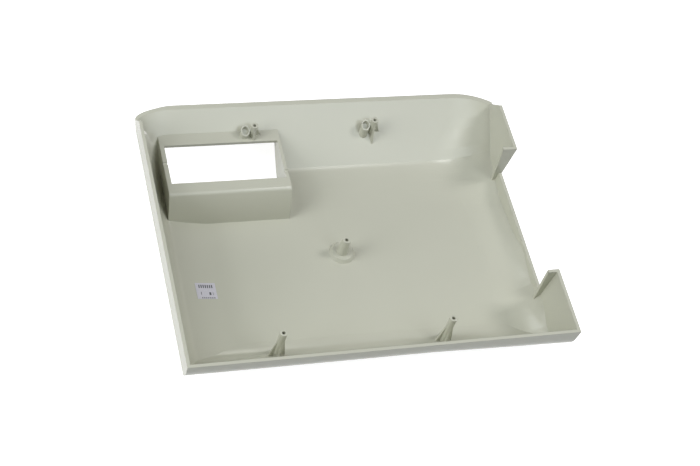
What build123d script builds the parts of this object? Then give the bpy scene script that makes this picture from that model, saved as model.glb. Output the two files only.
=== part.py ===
"""Injection moulded cover: a one-piece plastic shell with its moulded bosses, webs and window pocket,
and the small paper label stuck inside it.

The cover lies on its outer face, open side up. X runs along the front edge, Y runs from the front edge
to the rear edge, Z points out of the open side. The origin is the middle of the outline, on the flat
outer face that the cover rests on. Millimetres.
"""
from build123d import *
import math
import os

# ---------------------------------------------------------------- the shell
width = 360.0            # over the side rims
length = 290.0           # front face to the rear rim
depth = 63.0             # side rims above the flat outer face
wall = 3.0               # skin thickness

rear_drop = 15.0         # the rear rim is this much below the side rims
rear_slope = 36.87       # rear panel, degrees from the floor
flat_back = 105.0        # from the rear rim forward to where the flat of the floor stops
bend_r = 190.0           # the floor then rises on this radius
crease_r = 60.0          # and turns up on this one just before the rear panel
crease_run = 16.0        # length of that last turn
crease_back = 50.5       # from the rear rim forward to the crease between floor and rear panel
ear_back = 14.9          # the side walls stop this far from the rear rim
ear_rake = 14.0          # and their rear ends lean forward by this much

front_band_r = 20.0      # the front band rolls under on this radius
front_band = 7.0         # after this upright height below the rim
front_band_right = 12.0  # the band grows to this at the right wall
front_band_from = 225.0  # starting this far from the left face
front_slope = 52.0       # front panel, degrees from the floor
front_foot_r = 35.0      # the bend between front panel and floor
front_dip = 0.15         # that bend would pass this far under the floor: they meet at a faint line

left_band = 21.0         # upright height of the left wall below its rim
left_slope = 66.0        # left panel below it, degrees from the floor
left_rise = 10.7         # least height of panel and margin together, beside the rear rim
margin_fall = 0.2        # the floor's left margin falls towards the middle by this much per length
margin_end = 53.0        # where the margin would reach the floor, from the left face
margin_end_rear = 31.0   # the same beside the rear rim
margin_blend = 10.0      # half length of the soft turn there
left_turn = 6.0          # length of the turn between left panel and margin
left_turn_rear = 15.0

right_draft = 6.3        # right wall leans outward, degrees
# the roll between floor and right wall: (distance from the front face, height, width)
right_swell = (
    (-4.0, 15.5, 38.0), (29.0, 16.5, 38.0), (60.0, 24.5, 38.0), (82.0, 15.5, 38.0),
    (117.0, 20.0, 38.0), (150.0, 12.7, 38.0), (185.0, 9.7, 38.0), (203.0, 11.5, 44.0),
    (240.0, 12.5, 62.0), (268.0, 9.4, 42.0),
)

# ---------------------------------------------------------------- the notch in the right wall
notch_front = 68.0       # from the front face
notch_rear_back = 83.0   # from the rear rim
notch_depth = 38.5       # below the rim
notch_reach = 25.0       # the notch's cutting body reaches this far in from the right face
rear_web = 14.2          # web that turns inward at the notch's rear end, from the right face at the rim
rear_web_foot = 10.5     # the same at its foot
front_web = 11.4         # web at the notch's front end
web = 3.0                # thickness of those webs

# ---------------------------------------------------------------- the window pocket
pod_left = 21.3          # from the left face
pod_width = 116.6
pod_drop = 28.8          # top of the pocket below the side rims
pod_wall = 3.2
pod_ridge_back = 91.5    # front ridge of the pocket, from the rear rim
pod_foot_back = 106.8    # its front face meets the floor here, from the rear rim
pod_bulge = 2.0          # crown of the front face
pod_ridge_r = 6.0
window_lip = 1.0         # left edge of the window stands in from the wall by this
window_front_back = 80.4  # the window's front and rear edges, from the rear rim
window_rear_back = 36.6
snap_r = 1.7             # half-round snap notches in the pocket's side walls
snap_left_back = 57.0    # from the rear rim
snap_right_back = 73.0

# ---------------------------------------------------------------- bosses
boss_axis = 172.0        # middle of the boss pattern, from the left face
boss_od = 7.0
boss_bore = 3.2
boss_front_pitch = 158.0
boss_front_y = 34.5
boss_rear_pitch = 120.0
boss_rear_back = 28.0    # from the rear rim
boss_front_bore = 22.0   # depth of the pilot holes
boss_rear_bore = 12.0
rib = 1.6
front_rib_foot = 9.0     # half span of the cross ribs at their feet
front_rib_start = 13.0   # ribs start this far below the boss face
rear_rib_foot = 7.5
rear_rib_start = 4.5

# ---------------------------------------------------------------- small cups beside the rear bosses
guard_d = 8.6
guard_wall = 1.2
guard_side = 8.2         # its axis stands this far to the left of the boss
guard_front = 1.0        # and this far in front of it
guard_height = 12.0      # above the rear panel, which its rim follows
guard_deep = 4.0         # depth of the hollow in it

# ---------------------------------------------------------------- the middle post
post_x = 180.3
post_y = 141.0
post_height = 22.0       # above the floor
post_top_d = 7.6
post_foot_d = 13.5
post_bore = 3.4
post_bore_depth = 12.0
pad_d = 25.0
pad_top_d = 20.0
pad_height = 3.5

# ---------------------------------------------------------------- the paper label
label_x = 34.5           # left edge, from the left face
label_y = 101.0          # front edge, from the front face
label_w = 19.0
label_l = 17.0
label_t = 0.25
label_turn = 1.0

# ---------------------------------------------------------------- worked out
rear_z = depth - rear_drop
left_z = depth - left_band
rear_tan = math.tan(math.radians(rear_slope))
draft = math.tan(math.radians(right_draft))
flat_end = length - flat_back
notch_rear = length - notch_rear_back
pod_ridge = length - pod_ridge_back
pod_foot = length - pod_foot_back
window_front = length - window_front_back
window_rear = length - window_rear_back
snap_left = length - snap_left_back
snap_right = length - snap_right_back
boss_rear_y = length - boss_rear_back
crease_y = length - crease_back
turn_angle = math.asin((crease_y - crease_run - flat_end) / bend_r)
turn_y = flat_end + (bend_r - crease_r) * math.sin(turn_angle)
turn_z = bend_r - (bend_r - crease_r) * math.cos(turn_angle)
band_end = length - (rear_z - left_z + left_rise) / rear_tan
spare = 20.0             # how far a cutting or raw body runs past the part
flat_stations = 24       # spans between cross-sections along the flat floor
bend_stations = 5        # along the rising floor
turn_stations = 6        # along its last turn
panel_stations = 4       # along the rear panel


def at(x, y, z=0.0):
    """A point given from the front-left corner, in the part's own frame."""
    return (x - width / 2, y - length / 2, z)


# ---------------------------------------------------------------- the skin's long section
def panel_z(y, off):
    """Height of the rear panel, off inside its outer face."""
    return rear_z - (length - y) * rear_tan + off / math.cos(math.radians(rear_slope))


def turn_start(off):
    """Where the rising floor's last turn starts, off inside the outer face."""
    return flat_end + (bend_r - off) * math.sin(turn_angle)


def bend_z(y, off):
    """Height of the rising floor between its flat and the crease."""
    if y <= turn_start(off):
        return bend_r - math.sqrt((bend_r - off) ** 2 - (y - flat_end) ** 2)
    return turn_z - math.sqrt((crease_r - off) ** 2 - (y - turn_y) ** 2)


def crease(off):
    """Where the rising floor meets the rear panel, off inside the outer face."""
    low, high = flat_end, flat_end + (crease_y - flat_end) * 1.25
    for _ in range(60):
        mid = (low + high) / 2
        if bend_z(mid, off) > panel_z(mid, off):
            low = mid
        else:
            high = mid
    return (low + high) / 2


def floor_z(y, off):
    if y <= flat_end:
        return off
    if y <= crease(off):
        return bend_z(y, off)
    return panel_z(y, off)


def eased(y, table):
    """Row of values at y, eased from one listed station to the next."""
    for low, high in zip(table, table[1:]):
        if y <= high[0]:
            u = max(0.0, (y - low[0]) / (high[0] - low[0]))
            u = u * u * (3 - 2 * u)
            return [a + (b - a) * u for a, b in zip(low[1:], high[1:])]
    return list(table[-1][1:])


# ---------------------------------------------------------------- one cross-section of the skin
def left_points(y, off):
    """The skin from the left wall's lower edge to the floor: two runs of four curve points."""
    base = floor_z(y, 0.0)
    top_z = max(left_z, base + left_rise)
    end, turn = eased(y, ((flat_end, margin_end, left_turn), (band_end, margin_end_rear, left_turn_rear)))
    slope = math.radians(left_slope)
    run = math.cos(slope) / math.sin(slope)
    face_x = off / math.sin(slope)
    lift = off * math.sqrt(1 + margin_fall ** 2)
    margin_top = base + lift + margin_fall * end
    corner_x = (face_x + run * (top_z - margin_top)) / (1 - run * margin_fall)
    corner = (corner_x, margin_top - margin_fall * corner_x)
    start = (off, top_z - (off - face_x) / run)
    middle = (corner_x + turn, corner[1] - margin_fall * turn)
    floor = floor_z(y, off)
    foot_x = (margin_top - floor) / margin_fall
    foot = (foot_x, floor)
    last = (foot_x + margin_blend, floor)
    hug = 2 / 3

    def along(a, b, share):
        return (a[0] + (b[0] - a[0]) * share, a[1] + (b[1] - a[1]) * share)

    panel_turn = min(0.85, max(hug, 1 - turn / math.hypot(corner[0] - start[0], corner[1] - start[1])))
    panel = [start, along(start, corner, panel_turn), along(middle, corner, hug), middle]
    margin = [middle, along(middle, foot, 0.8), foot, last]
    return panel, margin


def right_face(z, off):
    """The right wall's face at height z, from the left face of the cover."""
    return width - (depth - z) * draft - off * math.sqrt(1 + draft ** 2)


def right_points(y, off):
    """The roll from the floor up to the right wall, as four curve points."""
    swell, reach = eased(y, right_swell)
    base = floor_z(y, off)
    start = right_face(floor_z(y, 0.0) + swell, 0.0) - reach
    r = (reach ** 2 + swell ** 2) / (2 * swell) - off
    a = right_face(0.0, off) - start
    half_b = a * draft - base - r
    square = 1 + draft ** 2
    root = math.sqrt(half_b ** 2 - square * (a ** 2 + (base + r) ** 2 - r ** 2))
    end_z = (-half_b - root) / square
    end = (right_face(end_z, off), end_z)
    turn = math.asin((end[0] - start) / r)
    pull = r * 4 / 3 * math.tan(turn / 4)
    near_end = (end[0] - pull * math.cos(turn), end_z - pull * math.sin(turn))
    return [(start, base), (start + pull, base), near_end, end]


def cross_section(y, off):
    """Closed outline across the cover at y, off inside the outer face, up to well past the rim."""
    top = depth + 2 * spare

    def points(places):
        return [Vector(*at(x, y, z)) for x, z in places]

    panel, margin = left_points(y, off)
    roll = right_points(y, off)
    edges = [
        Edge.make_line(*points([(off, top), panel[0]])),
        Edge.make_bezier(*points(panel)),
        Edge.make_bezier(*points(margin)),
        Edge.make_line(*points([margin[-1], roll[0]])),
        Edge.make_bezier(*points(roll)),
        Edge.make_line(*points([roll[-1], (right_face(top, off), top)])),
        Edge.make_line(*points([(right_face(top, off), top), (off, top)])),
    ]
    return Wire(edges)


def stations(start, end, spans):
    return [start + (end - start) * k / spans for k in range(spans + 1)]


def raw_body(off):
    """Everything above one face of the skin, lofted through its cross-sections, well past the rim."""
    fold = crease(off)
    turn = turn_start(off)
    places = stations(-4.0, flat_end, flat_stations)
    places += stations(flat_end, turn, bend_stations)[1:]
    places += stations(turn, fold, turn_stations)[1:]
    places += stations(fold, band_end, panel_stations)[1:]
    places.append(length + spare)
    return Solid.make_loft([cross_section(y, off) for y in places], True)


# ---------------------------------------------------------------- outlines seen from the side
def side_wire(points_and_arcs, x):
    """Closed outline across X from (y, z) pieces: two points a line, three an arc."""
    edges = []
    for piece in points_and_arcs:
        ends = [Vector(*at(x, y, z)) for y, z in piece]
        if len(ends) == 2:
            edges.append(Edge.make_line(*ends))
        else:
            edges.append(Edge.make_three_point_arc(*ends))
    return Wire(edges)


def side_prism(points_and_arcs, x_from, x_to):
    """Prism across X from such an outline."""
    return Solid.extrude(Face(side_wire(points_and_arcs, x_from)), Vector(x_to - x_from, 0, 0))


def side_outline(off, top, low, band):
    """Closed side view: front band, front panel and its bend to the floor, then straight to the rear."""
    slope = math.radians(front_slope)
    band_z = depth - band
    turned = math.pi / 2 - slope
    band_r = front_band_r - off

    def on_band(angle):
        return (front_band_r - band_r * math.cos(angle), band_z - band_r * math.sin(angle))

    outer_y = front_band_r * (1 - math.cos(turned))
    outer_z = band_z - front_band_r * math.sin(turned)
    foot_y = outer_y + (outer_z + front_dip) / math.tan(slope) + front_foot_r * math.tan(slope / 2)
    foot_z = front_foot_r - front_dip
    foot_r = front_foot_r - off

    def on_foot(angle):
        return (foot_y - foot_r * math.sin(angle), foot_z - foot_r * math.cos(angle))

    back = length + spare - 2
    return [
        ((off, top), on_band(0)),
        (on_band(0), on_band(turned / 2), on_band(turned)),
        (on_band(turned), on_foot(slope)),
        (on_foot(slope), on_foot(slope / 2), on_foot(0)),
        (on_foot(0), (back, low)),
        ((back, low), (back, top)),
        ((back, top), (off, top)),
    ]


def side_body(off, top):
    """The room between the cover's front and beyond its rear, off inside the outer face."""
    growth = (front_band_right - front_band) / (width - front_band_from)
    places = ((-spare, front_band), (front_band_from, front_band),
              (width + spare, front_band_right + growth * spare))
    wires = [side_wire(side_outline(off, top, -spare, band), x) for x, band in places]
    return Solid.make_loft(wires, True)


def shell():
    past = spare
    outer = raw_body(0.0) & side_body(0.0, depth)
    cavity = raw_body(wall) & side_body(wall, depth + past)
    ear_end = length - ear_back
    rake_top = ear_end - ear_rake
    rear_cut = side_prism(
        [
            ((ear_end, rear_z), (rake_top, depth)),
            ((rake_top, depth), (rake_top, depth + past)),
            ((rake_top, depth + past), (length + past, depth + past)),
            ((length + past, depth + past), (length + past, rear_z)),
            ((length + past, rear_z), (ear_end, rear_z)),
        ],
        -past, width + past,
    )
    outer -= rear_cut
    return outer, cavity


def block(x0, x1, y0, y1, z0, z1):
    """Plain box between the given limits, from the front-left corner."""
    box = Box(x1 - x0, y1 - y0, z1 - z0, align=(Align.MIN, Align.MIN, Align.MIN))
    return Pos(*at(x0, y0, z0)) * box


# ---------------------------------------------------------------- the right wall's notch and its webs
def notch():
    return block(width - notch_reach, width + spare, notch_front, notch_rear,
                 depth - notch_depth, depth + spare)


def return_webs():
    """Webs that turn inward from the right wall at both ends of the notch, down to the floor."""
    result = []
    for y, reach, foot_reach in (
        (notch_front - web, front_web, front_web),
        (notch_rear, rear_web, rear_web_foot),
    ):
        outline = Wire.make_polygon([
            Vector(*at(width - reach, y, depth)),
            Vector(*at(width - foot_reach, y, 0)),
            Vector(*at(width + spare, y, 0)),
            Vector(*at(width + spare, y, depth)),
        ])
        result.append(Solid.extrude(Face(outline), Vector(0, web, 0)))
    return result


# ---------------------------------------------------------------- the window pocket
def pod_side(off, rear, low):
    """Side view of the pocket, off inside its faces."""
    top = depth - pod_drop - off
    face = math.hypot(pod_ridge - pod_foot, top)
    ny, nz = -top / face, (pod_ridge - pod_foot) / face
    ridge = (pod_ridge + off, top)
    foot = (pod_foot + off * 1.1, 0.0)
    mid = ((ridge[0] + foot[0]) / 2 + ny * pod_bulge, (ridge[1] + foot[1]) / 2 + nz * pod_bulge)
    return [
        (ridge, mid, foot),
        (foot, (foot[0], low)),
        ((foot[0], low), (rear, low)),
        ((rear, low), (rear, top)),
        ((rear, top), ridge),
    ]


def pod_block():
    rear = length
    block_body = side_prism(pod_side(0.0, rear, -1.0), pod_left, pod_left + pod_width)
    top = depth - pod_drop
    ridge = [
        e for e in block_body.edges()
        if abs(e.center().Z - top) < 0.01 and abs(e.center().Y - at(0, pod_ridge)[1]) < 0.01
    ]
    return block_body.fillet(pod_ridge_r, ridge)


def pod_pocket():
    inner = side_prism(pod_side(pod_wall, length, -5.0), pod_left + pod_wall,
                       pod_left + pod_width - pod_wall)
    window = block(pod_left + pod_wall + window_lip, pod_left + pod_width - pod_wall,
                   window_front, window_rear, depth - pod_drop - 2 * pod_wall, depth)
    return inner, window


def snap_notches():
    result = []
    z = depth - pod_drop
    for x, y in ((pod_left, snap_left), (pod_left + pod_width - pod_wall - 0.5, snap_right)):
        drill = Cylinder(snap_r, pod_wall + 1.5, rotation=(0, 90, 0), align=(Align.CENTER,) * 2 + (Align.MIN,))
        result.append(Pos(*at(x - 0.5, y, z)) * drill)
    return result


# ---------------------------------------------------------------- bosses and post
def boss_places():
    """Every screw boss: x, y, pilot depth, rib half span at the foot, where its ribs start."""
    places = []
    for side in (-1, 1):
        places.append((boss_axis + side * boss_front_pitch / 2, boss_front_y, boss_front_bore,
                       front_rib_foot, front_rib_start))
        places.append((boss_axis + side * boss_rear_pitch / 2, boss_rear_y, boss_rear_bore,
                       rear_rib_foot, rear_rib_start))
    return places


def boss_body(x, y, foot_span, rib_start, foot_z):
    """Upright tube with four tapering ribs, from below the skin up to the boss face."""
    top = rear_z
    tube = Pos(*at(x, y, 0)) * Cylinder(boss_od / 2, top, align=(Align.CENTER, Align.CENTER, Align.MIN))
    start = top - rib_start
    slope = (foot_span - boss_od / 2 + 0.3) / (start - foot_z)
    low_span = foot_span + slope * foot_z
    points = [(-low_span, 0), (low_span, 0), (boss_od / 2 - 0.3, start), (-boss_od / 2 + 0.3, start)]
    blade = extrude(make_face(Plane.XZ * Polyline(*points, close=True)), rib / 2, both=True)
    crossed = blade + Rot(0, 0, 90) * blade
    return tube + Pos(*at(x, y, 0)) * crossed


def guard(x, y):
    """Small cup to the left of a rear boss, joined to it by a rib; its rim follows the rear panel."""
    up = (Align.CENTER, Align.CENTER, Align.MIN)
    cx = x - guard_side
    cy = y - guard_front
    cup = Pos(*at(cx, cy, 0)) * Cylinder(guard_d / 2, depth, align=up)
    hollow = Pos(*at(cx, cy, 0)) * Cylinder(guard_d / 2 - guard_wall, depth, align=up)
    rib_run = block(cx, x, y - guard_front / 2 - rib / 2, y - guard_front / 2 + rib / 2, 0, depth)
    rib_run -= hollow
    near, far = cy - guard_d, cy + guard_d

    def above(height):
        low, high = panel_z(near, wall) + height, panel_z(far, wall) + height
        top = depth + spare
        return side_prism(
            [((near, low), (far, high)), ((far, high), (far, top)), ((far, top), (near, top)),
             ((near, top), (near, low))],
            cx - guard_d, x + guard_d,
        )

    body = cup - (hollow & above(guard_height - guard_deep))
    body += rib_run
    return body - above(guard_height)


def boss_bore_cut(x, y, bore_depth):
    return Pos(*at(x, y, rear_z)) * Cylinder(boss_bore / 2, bore_depth,
                                              align=(Align.CENTER, Align.CENTER, Align.MAX))


def middle_post():
    up = (Align.CENTER, Align.CENTER, Align.MIN)
    pad = Pos(*at(post_x, post_y, 0)) * Cone(pad_d / 2 + 2, pad_top_d / 2, wall + pad_height, align=up)
    post = Pos(*at(post_x, post_y, 0)) * Cone(post_foot_d / 2, post_top_d / 2, wall + post_height, align=up)
    bore = Pos(*at(post_x, post_y, wall + post_height)) * Cylinder(
        post_bore / 2, post_bore_depth, align=(Align.CENTER, Align.CENTER, Align.MAX))
    return pad + post, bore


# ---------------------------------------------------------------- the moulding
def cover():
    outer, cavity = shell()
    body = outer - cavity
    inside = []
    inside.extend(return_webs())
    inside.append(pod_block())
    for x, y, _, foot_span, rib_start in boss_places():
        foot_z = floor_z(y, wall)
        if abs(x - pod_left - pod_width / 2) < pod_width / 2 and y > pod_ridge:
            foot_z = depth - pod_drop
        inside.append(boss_body(x, y, foot_span, rib_start, foot_z))
        if y > length / 2:
            inside.append(guard(x, y))
    post, post_hole = middle_post()
    inside.append(post)
    for piece in inside:
        body += piece & outer
    body -= notch()
    pocket, window = pod_pocket()
    body -= pocket
    body -= window
    for cut in snap_notches():
        body -= cut
    for x, y, bore_depth, _, _ in boss_places():
        body -= boss_bore_cut(x, y, bore_depth)
    body -= post_hole
    return body


def label():
    """Thin paper label that follows the inner face of the left margin."""
    under = raw_body(wall)
    over = raw_body(wall + label_t)
    patch = Box(label_w, label_l, depth / 2, align=(Align.CENTER, Align.CENTER, Align.MIN))
    patch = Rot(0, 0, label_turn) * patch
    patch = Pos(*at(label_x + label_w / 2, label_y + label_l / 2, 0)) * patch
    return (under - over) & patch


def main():
    os.makedirs("parts", exist_ok=True)
    for name, solid in (("cover_moulding", cover()), ("paper_label", label())):
        export_step(solid, "parts/" + name + ".step")
        print(name, "solids", len(solid.solids()), "volume", round(solid.volume, 1), "valid", solid.is_valid)


main()
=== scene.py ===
# %% [markdown]
# The object is a moulded plastic cover, lying on its outside with the open side up. Its rigid shape comes
# from the CAD frame, which loads each solid as an object of its own. Such a cover is one moulding and a
# paper label, so this lesson adds no shape. It gives the two their surfaces, sets a studio round them and
# places a camera. The cover's size is measured first.

import bpy
import bmesh
import math
from mathutils import Matrix, Vector


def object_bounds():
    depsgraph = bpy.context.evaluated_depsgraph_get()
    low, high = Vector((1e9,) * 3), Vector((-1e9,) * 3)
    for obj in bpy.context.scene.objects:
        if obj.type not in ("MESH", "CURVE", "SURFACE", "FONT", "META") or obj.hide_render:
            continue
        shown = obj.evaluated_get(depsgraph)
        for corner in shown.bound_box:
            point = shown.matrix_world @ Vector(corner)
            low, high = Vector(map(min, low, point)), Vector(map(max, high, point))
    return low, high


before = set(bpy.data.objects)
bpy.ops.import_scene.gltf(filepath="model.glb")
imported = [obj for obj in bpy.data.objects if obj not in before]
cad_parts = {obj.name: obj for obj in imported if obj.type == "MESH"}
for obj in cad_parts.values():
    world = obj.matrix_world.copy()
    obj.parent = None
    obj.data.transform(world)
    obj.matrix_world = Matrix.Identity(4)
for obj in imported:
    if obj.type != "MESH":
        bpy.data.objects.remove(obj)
low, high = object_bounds()
size = high - low
print("the cover measures", [round(v * 1000, 1) for v in size], "mm")

# %% [markdown]
# A finish in Blender is a small graph of nodes. It can be wired by hand in the shader editor, but in a
# script the same few lines would come back for every node. So one helper starts a material and hands
# back its graph with the main shader, and another adds a node, sets it and fills or wires its inputs.

# %% Helpers for materials
def new_finish(name):
    """A material with an empty graph but for its main shader: (material, tree, shader)."""
    finish = bpy.data.materials.new(name)
    finish.use_nodes = True
    tree = finish.node_tree
    return finish, tree, tree.nodes["Principled BSDF"]


def node(tree, kind, inputs=None, **settings):
    """Adds one node; inputs maps a socket's name or number to a value or to another node's output."""
    made = tree.nodes.new(kind)
    for key, value in settings.items():
        setattr(made, key, value)
    for key, value in (inputs or {}).items():
        if isinstance(value, bpy.types.NodeSocket):
            tree.links.new(value, made.inputs[key])
        else:
            made.inputs[key].default_value = value
    return made


# %% [markdown]
# Three kinds of node come back often: a noise that varies over the surface, a blend of two colours, and a
# step of arithmetic. Each gets a helper that returns the socket to wire on. The noise reads Object
# coordinates, which are the places on the piece itself, so the pattern stays on it wherever it goes.

# %% Helpers for patterns
def object_places(tree):
    """Socket with each point's own place on the piece."""
    return node(tree, "ShaderNodeTexCoord").outputs["Object"]


def noise(tree, place, scale, detail):
    """Socket that wanders between 0 and 1 over the surface."""
    spread = {"Vector": place, "Scale": scale, "Detail": detail}
    return node(tree, "ShaderNodeTexNoise", spread).outputs["Fac"]


def blend(tree, factor, first, second):
    """Socket with the first colour where factor is 0 and the second where it is 1."""
    colours = {"Factor": factor, "A": first, "B": second}
    return node(tree, "ShaderNodeMix", colours, data_type="RGBA").outputs["Result"]


def reckon(tree, operation, *values):
    """Socket with the result of one step of arithmetic."""
    return node(tree, "ShaderNodeMath", dict(enumerate(values)), operation=operation).outputs["Value"]


def dress(name, finish):
    """Puts the finish on a CAD node and says so."""
    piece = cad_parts[name]
    piece.data.materials.clear()
    piece.data.materials.append(finish)
    print(name, "has", len(piece.data.polygons), "faces in", finish.name)


# %% [markdown]
# The cover is off-white plastic from a smooth mould. No moulding is quite one colour: the tone drifts
# where the plastic flowed, and the gloss varies. Painted maps could show that, but they would need a
# layout of the whole shell. Two noises do it without one: a broad one for colour, a fine one for gloss.

# %% Colour and gloss of the plastic
PLASTIC_PALE = (0.530, 0.532, 0.440, 1.0)
PLASTIC_DEEP = (0.495, 0.500, 0.405, 1.0)
DRIFT_SCALE = 9.0
ROUGH_LOW = 0.17
ROUGH_HIGH = 0.25
GRAIN_SCALE = 160.0


def plastic_tone(tree, place):
    """Socket with the plastic's drifting colour."""
    return blend(tree, noise(tree, place, DRIFT_SCALE, 2.0), PLASTIC_DEEP, PLASTIC_PALE)


def plastic_gloss(tree, place):
    """Socket with the plastic's roughness, uneven in a fine grain."""
    limits = {"Value": noise(tree, place, GRAIN_SCALE, 3.0), "To Min": ROUGH_LOW, "To Max": ROUGH_HIGH}
    return node(tree, "ShaderNodeMapRange", limits).outputs["Result"]


print("gloss from", ROUGH_LOW, "to", ROUGH_HIGH)

# %% [markdown]
# A mould leaves a very fine texture, and its edges are never razor sharp. Real bevels on every rib would
# cost many faces for half a millimetre of radius, so a Bevel node rounds the shading at the edges, and a
# Bump node lays the texture over it.

# %% Surface of the plastic
TEXTURE_SCALE = 900.0
TEXTURE_STRENGTH = 0.06
TEXTURE_DEPTH = 0.0002
EDGE_SOFTNESS = 0.0006


def plastic_surface(tree, place):
    """Socket with the surface's direction: soft edges under a fine texture."""
    edges = node(tree, "ShaderNodeBevel", {"Radius": EDGE_SOFTNESS}, samples=4)
    texture = {
        "Height": noise(tree, place, TEXTURE_SCALE, 2.0),
        "Strength": TEXTURE_STRENGTH,
        "Distance": TEXTURE_DEPTH,
        "Normal": edges.outputs["Normal"],
    }
    return node(tree, "ShaderNodeBump", texture).outputs["Normal"]


print("edges softened over", EDGE_SOFTNESS * 1000, "mm")

# %% [markdown]
# The three sockets meet in the main shader. The index of refraction of 1.5 is that of most hard plastics,
# and it sets how strong the highlights are.

# %% Moulded plastic
PLASTIC_IOR = 1.5


def moulded_plastic():
    finish, tree, shader = new_finish("moulded_plastic")
    place = object_places(tree)
    tree.links.new(plastic_tone(tree, place), shader.inputs["Base Color"])
    tree.links.new(plastic_gloss(tree, place), shader.inputs["Roughness"])
    tree.links.new(plastic_surface(tree, place), shader.inputs["Normal"])
    shader.inputs["IOR"].default_value = PLASTIC_IOR
    return finish


dress("cover_moulding", moulded_plastic())

# %% [markdown]
# A small paper label is stuck on the floor's left margin, with a few lines of print. Print has no height,
# so it belongs in the material. Here it is only rows of short dark bars. A row is a band of Y that ends
# at two places of X, and inside it a folded ramp along X repeats the bars.

# %% Marks on the label
LABEL_LEFT = -0.1455
LABEL_FRONT = -0.0440
PRINT_ROWS = (
    # front edge, rear edge, left end, right end, distance between bars, share of it inked
    (0.0116, 0.0150, 0.0024, 0.0166, 0.0020, 0.58),
    (0.0044, 0.0074, 0.0030, 0.0048, 0.0036, 0.50),
    (0.0042, 0.0072, 0.0106, 0.0158, 0.0034, 0.52),
    (0.0004, 0.0018, 0.0040, 0.0170, 0.0019, 0.50),
)


def inside(tree, value, start, end):
    """Socket that is 1 where value lies between start and end."""
    return reckon(tree, "COMPARE", value, (start + end) / 2, (end - start) / 2)


def printed_row(tree, across, along, row):
    """Socket that is 1 on the bars of one row."""
    front, rear, left, right, pitch, share = row
    band = inside(tree, along, LABEL_FRONT + front, LABEL_FRONT + rear)
    stretch = inside(tree, across, LABEL_LEFT + left, LABEL_LEFT + right)
    ramp = reckon(tree, "PINGPONG", across, pitch / 2)
    bars = reckon(tree, "LESS_THAN", ramp, pitch / 2 * share)
    return reckon(tree, "MULTIPLY", reckon(tree, "MULTIPLY", band, stretch), bars)


def printed_bars(tree, across, along):
    """Socket that is 1 on the label's ink."""
    ink = printed_row(tree, across, along, PRINT_ROWS[0])
    for row in PRINT_ROWS[1:]:
        ink = reckon(tree, "MAXIMUM", ink, printed_row(tree, across, along, row))
    return ink


print("rows of print", len(PRINT_ROWS))

# %% [markdown]
# Paper is matt, and its fibres make it faintly uneven. A fine noise between two close tones gives the
# fibres, and the rows of print choose between paper and ink.

# %% Paper label
PAPER_DIM = (0.52, 0.51, 0.55, 1.0)
PAPER_BRIGHT = (0.66, 0.65, 0.70, 1.0)
INK = (0.09, 0.09, 0.10, 1.0)
FIBRE_SCALE = 700.0
PAPER_ROUGHNESS = 0.7


def label_paper():
    finish, tree, shader = new_finish("label_paper")
    place = object_places(tree)
    axes = node(tree, "ShaderNodeSeparateXYZ", {"Vector": place})
    paper = blend(tree, noise(tree, place, FIBRE_SCALE, 4.0), PAPER_DIM, PAPER_BRIGHT)
    ink = printed_bars(tree, axes.outputs["X"], axes.outputs["Y"])
    tree.links.new(blend(tree, ink, paper, INK), shader.inputs["Base Color"])
    shader.inputs["Roughness"].default_value = PAPER_ROUGHNESS
    return finish


dress("paper_label", label_paper())

# %% [markdown]
# The studio is a pale floor under a white surround. If the surround itself lit the cover, its tones would
# wash out. So the floor and the surround shine only for camera, mirror and glass rays, and the light on
# the cover comes from lamps alone. A Light Path node tells the rays apart.

# %% Rays that look at the surround
def looking_rays(tree):
    """Socket that is 1 for camera, mirror and glass rays, and 0 for rays that only carry light."""
    rays = node(tree, "ShaderNodeLightPath").outputs
    seen = reckon(tree, "MAXIMUM", rays["Is Camera Ray"], rays["Is Glossy Ray"])
    return reckon(tree, "MAXIMUM", seen, rays["Is Transmission Ray"])


# %% [markdown]
# Its glow stays a little below white and the lamps make up the rest, so that the cover's shadow is
# still seen on it.

# %% Pale floor
FLOOR_REACH = 6.0
FLOOR_TONE = (0.60, 0.60, 0.60, 1.0)
FLOOR_GLOW = 0.85
WHITE = (1.0, 1.0, 1.0, 1.0)


def floor_white():
    finish, tree, shader = new_finish("floor_white")
    shader.inputs["Base Color"].default_value = FLOOR_TONE
    shader.inputs["Roughness"].default_value = 1.0
    shader.inputs["Specular IOR Level"].default_value = 0.0
    shader.inputs["Emission Color"].default_value = WHITE
    glow = reckon(tree, "MULTIPLY", looking_rays(tree), FLOOR_GLOW)
    tree.links.new(glow, shader.inputs["Emission Strength"])
    return finish


def studio_floor():
    mesh = bpy.data.meshes.new("studio_floor")
    shape = bmesh.new()
    bmesh.ops.create_grid(shape, x_segments=1, y_segments=1, size=FLOOR_REACH)
    shape.to_mesh(mesh)
    shape.free()
    mesh.materials.append(floor_white())
    floor = bpy.data.objects.new("studio_floor", mesh)
    bpy.context.scene.collection.objects.link(floor)
    return floor


print("floor", studio_floor().name, "reaches", FLOOR_REACH, "m each way")

# %% [markdown]
# The surround is the world's background. Its strength is the same socket: 1 where a ray looks at it, and
# 0 where it would only carry light.

# %% Surround
def surround():
    world = bpy.data.worlds.new("studio_sky")
    bpy.context.scene.world = world
    world.use_nodes = True
    tree = world.node_tree
    background = tree.nodes["Background"]
    background.inputs["Color"].default_value = WHITE
    tree.links.new(looking_rays(tree), background.inputs["Strength"])
    return world


print("surround", surround().name)

# %% [markdown]
# A soft box is an area lamp: the wider it is, the softer its shadows and the broader its highlights. Each
# one is placed by its bearing and height round the cover, and turned to face it. Points typed in by hand
# would do as well, but a bearing says at once where the light comes from.

# %% A soft box
LAMP_DISTANCE = 1.9


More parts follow.
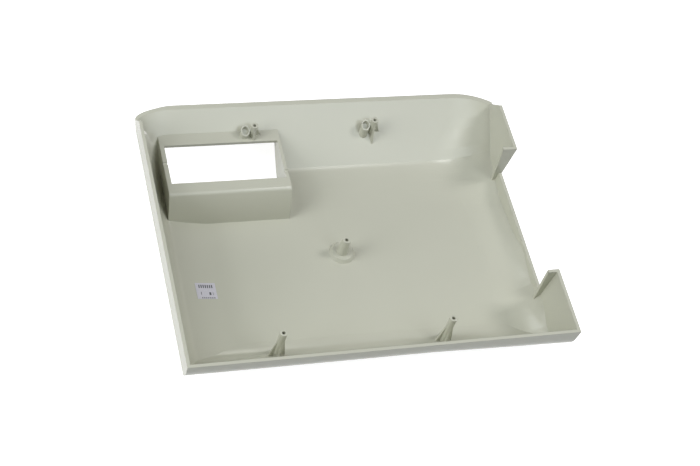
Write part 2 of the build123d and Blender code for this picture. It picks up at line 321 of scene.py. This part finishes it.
def soft_box(name, azimuth, elevation, width, power, colour):
    """An area lamp at that bearing and height, aimed at the cover; azimuth 0 is in front, 90 right."""
    lamp = bpy.data.lights.new(name, "AREA")
    lamp.shape = "SQUARE"
    lamp.size = width
    lamp.energy = power
    lamp.color = colour
    box = bpy.data.objects.new(name, lamp)
    a, e = math.radians(azimuth), math.radians(elevation)
    back = Vector((math.sin(a) * math.cos(e), -math.cos(a) * math.cos(e), math.sin(e)))
    box.location = back * LAMP_DISTANCE
    box.rotation_mode = "QUATERNION"
    box.rotation_quaternion = back.to_track_quat("Z", "Y")
    bpy.context.scene.collection.objects.link(box)
    return box


# %% [markdown]
# The pair on the left and the one on the right carry the light, and their shadows cross on the floor of
# the cover. A cooler lamp in front brings up the rear panel. Two weak ones lift the rear and the bends.

# %% Soft boxes
SOFT_BOXES = {
    # azimuth, elevation, width, power, colour
    "left_low_box": (280, 26, 1.0, 16.8, (0.95, 0.96, 1.00)),
    "left_high_box": (262, 50, 1.0, 12.0, (0.95, 0.98, 1.00)),
    "right_box": (88, 50, 0.45, 12.4, (0.98, 0.96, 1.00)),
    "front_box": (28, 50, 0.9, 6.6, (0.88, 0.95, 1.00)),
    "rear_low_box": (180, 12, 0.9, 6.5, (1.00, 1.00, 0.90)),
    "high_box": (47, 66, 0.30, 4.4, (1.00, 1.00, 1.00)),
}
for name, setting in SOFT_BOXES.items():
    soft_box(name, *setting)
print("lamps", len(SOFT_BOXES))

# %% [markdown]
# The camera looks down into the open side from the front left, with the horizon tipped. It is placed by
# the point it looks at, its distance and three turns: round the cover, up from the floor, and about its
# own line of sight. A long lens keeps the far edge nearly as wide as the near one.

# %% Camera
CAMERA_AIM = Vector((0.0134, 0.0179, 0.003))
CAMERA_DISTANCE = 1.5215
CAMERA_AZIMUTH = -29.87
CAMERA_ELEVATION = 52.67
CAMERA_ROLL = 20.64
CAMERA_LENS = 82.45
CAMERA_SENSOR = 36.0


def studio_camera():
    view = bpy.data.cameras.new("camera")
    view.lens = CAMERA_LENS
    view.sensor_width = CAMERA_SENSOR
    camera = bpy.data.objects.new("camera", view)
    turn = (
        Matrix.Rotation(math.radians(CAMERA_AZIMUTH), 4, "Z")
        @ Matrix.Rotation(math.radians(90.0 - CAMERA_ELEVATION), 4, "X")
        @ Matrix.Rotation(math.radians(CAMERA_ROLL), 4, "Z")
    )
    step_back = Matrix.Translation((0, 0, CAMERA_DISTANCE))
    camera.matrix_world = Matrix.Translation(CAMERA_AIM) @ turn @ step_back
    bpy.context.scene.collection.objects.link(camera)
    return camera


bpy.context.scene.camera = studio_camera()
print("camera stands at", [round(v, 3) for v in bpy.context.scene.camera.matrix_world.translation])

# %% [markdown]
# The Standard view shows colours as they are written, where the default one would soften them.

# %% View
bpy.context.scene.view_settings.view_transform = "Standard"
